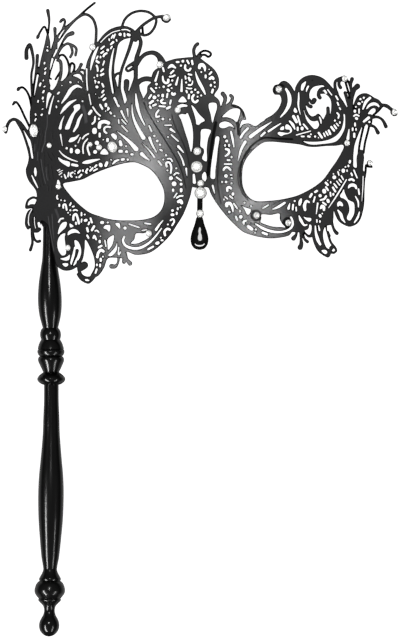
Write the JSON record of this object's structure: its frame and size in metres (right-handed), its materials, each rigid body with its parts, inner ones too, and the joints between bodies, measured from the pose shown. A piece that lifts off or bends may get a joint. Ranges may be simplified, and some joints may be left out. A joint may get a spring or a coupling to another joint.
{
  "type": "venetian stick mask",
  "caption": "Curved filigree half mask of pierced black metal, set with clear stones and a black drop, on a turned black stick at one side.",
  "frame": {"origin": "middle of the underside: the mask lies on its back, on the two side tips of the sheet and the ball of the stick", "axes": "+X to the right of the mask as seen from the front, +Y from the stick up to the crown, +Z out of the front of the face, up from the table"},
  "size_m": [0.1976, 0.3168, 0.0435],
  "materials": {
    "mask_metal": "satin black powder coat on laser-cut sheet iron",
    "strip_felt": "black felt strip",
    "drop_black": "polished black drop",
    "stick_lacquer": "turned wood under glossy black lacquer",
    "stone_clear": "clear cut glass with a silvered back"
  },
  "bodies": {
    "root": {"filigree_mask": "mask_metal", "backing_strip": "strip_felt", "teardrop": "drop_black", "handle": "stick_lacquer", "stone_left_tip": "stone_clear", "stone_left_oval": "stone_clear", "stone_left_plume": "stone_clear", "stone_left_eye_corner": "stone_clear", "stone_swan_neck": "stone_clear", "stone_top": "stone_clear", "stone_crown_left": "stone_clear", "stone_cheek_small": "stone_clear", "stone_cheek_flower": "stone_clear", "stone_cheek_oval": "stone_clear", "stone_crown_base": "stone_clear", "stone_bridge_1": "stone_clear", "stone_bridge_2": "stone_clear", "stone_bridge_3": "stone_clear", "stone_bridge_4": "stone_clear", "stone_drop_top": "stone_clear", "stone_lower_ring": "stone_clear", "stone_lower_cheek": "stone_clear", "stone_right_cheek": "stone_clear", "stone_right_swirl": "stone_clear", "stone_right_curl": "stone_clear", "stone_right_top": "stone_clear", "stone_right_tip": "stone_clear", "stone_right_eye_corner": "stone_clear", "stone_right_stalk": "stone_clear"}
  },
  "joints": []
}
